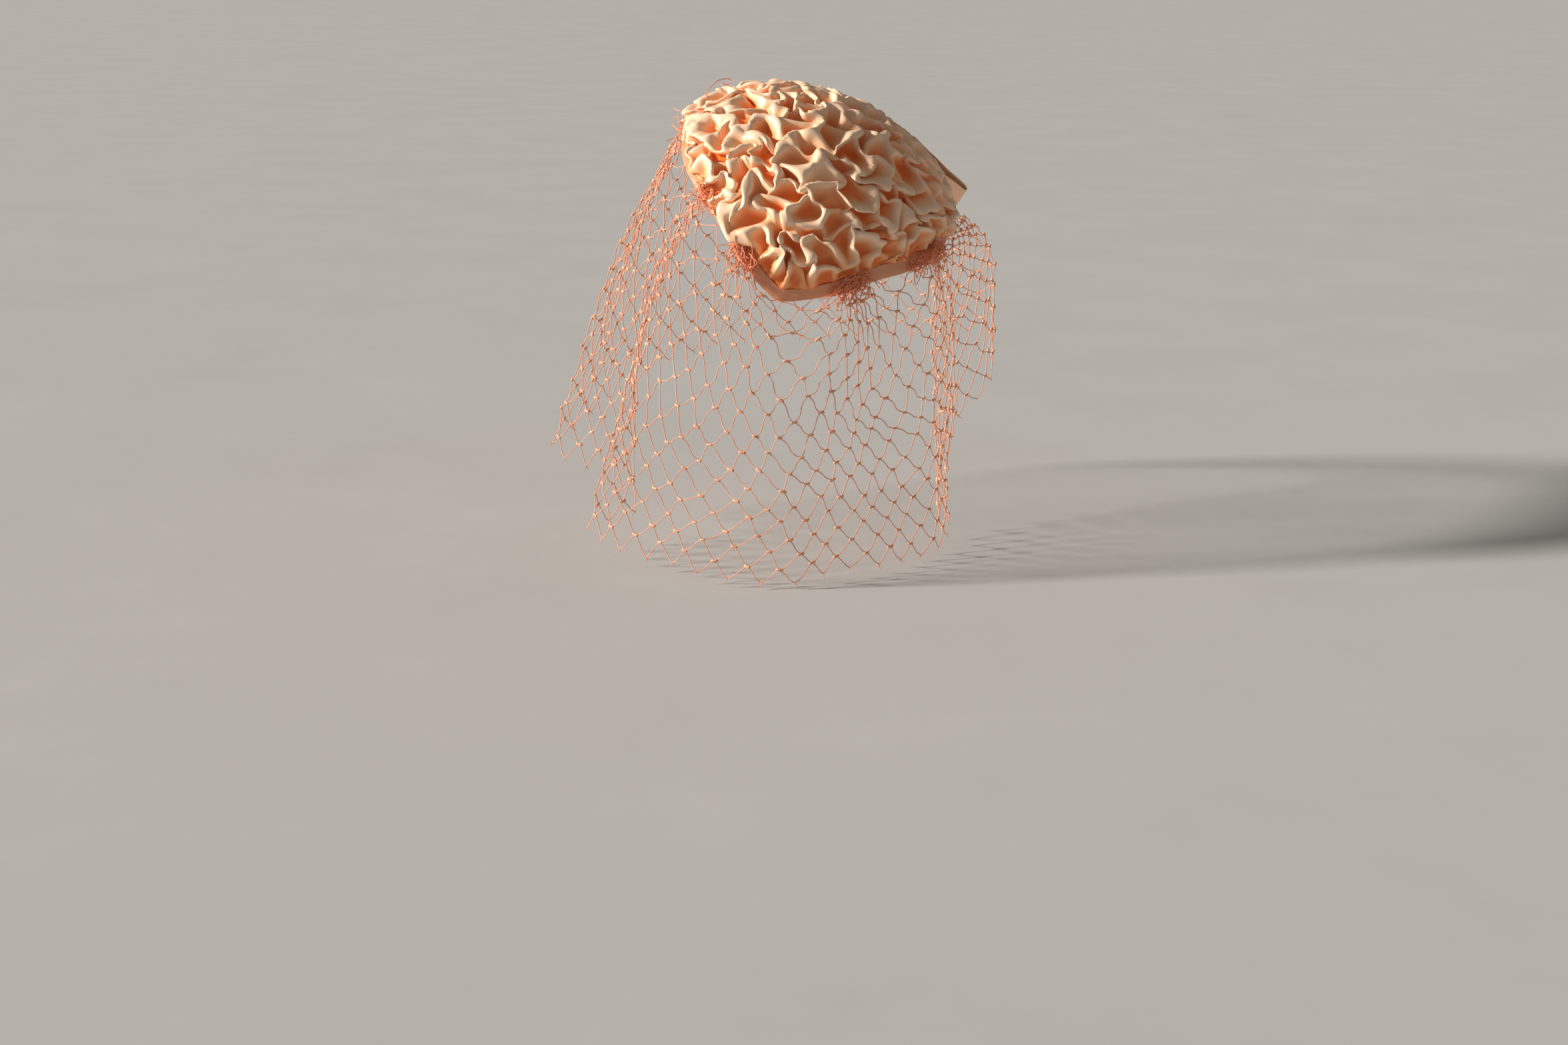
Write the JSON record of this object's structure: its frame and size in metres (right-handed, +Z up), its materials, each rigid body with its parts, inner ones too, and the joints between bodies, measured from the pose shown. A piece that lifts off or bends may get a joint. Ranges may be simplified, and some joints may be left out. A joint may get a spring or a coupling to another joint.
{
  "type": "fascinator",
  "caption": "Tilted half hat in ruched peach satin with a smooth edge binding, a flat bow at the back and a face veil of open net hung all round.",
  "frame": {"origin": "the inner top of the crown, where the hat sits on a head", "axes": "as worn on an upright head: +Z up, -Y the way the wearer faces, +X to the wearer's left"},
  "size_m": [0.2237, 0.2138, 0.2142],
  "materials": {
    "foundation": "matte woven stiffened cloth",
    "binding_satin": "smooth satin",
    "ruched_satin": "gathered satin with a soft sheen",
    "bow_satin": "smooth satin",
    "net": "fine matte thread"
  },
  "bodies": {
    "root": {"cap_foundation": "foundation", "edge_binding": "binding_satin", "ruched_cover": "ruched_satin", "bow_loop_left": "bow_satin", "bow_loop_right": "bow_satin", "bow_knot": "bow_satin", "veil": "net", "net_tuft_right": "net", "net_tuft_right_front": "net", "net_tuft_peak": "net", "net_tuft_left_front": "net", "net_tuft_left": "net"}
  },
  "joints": []
}
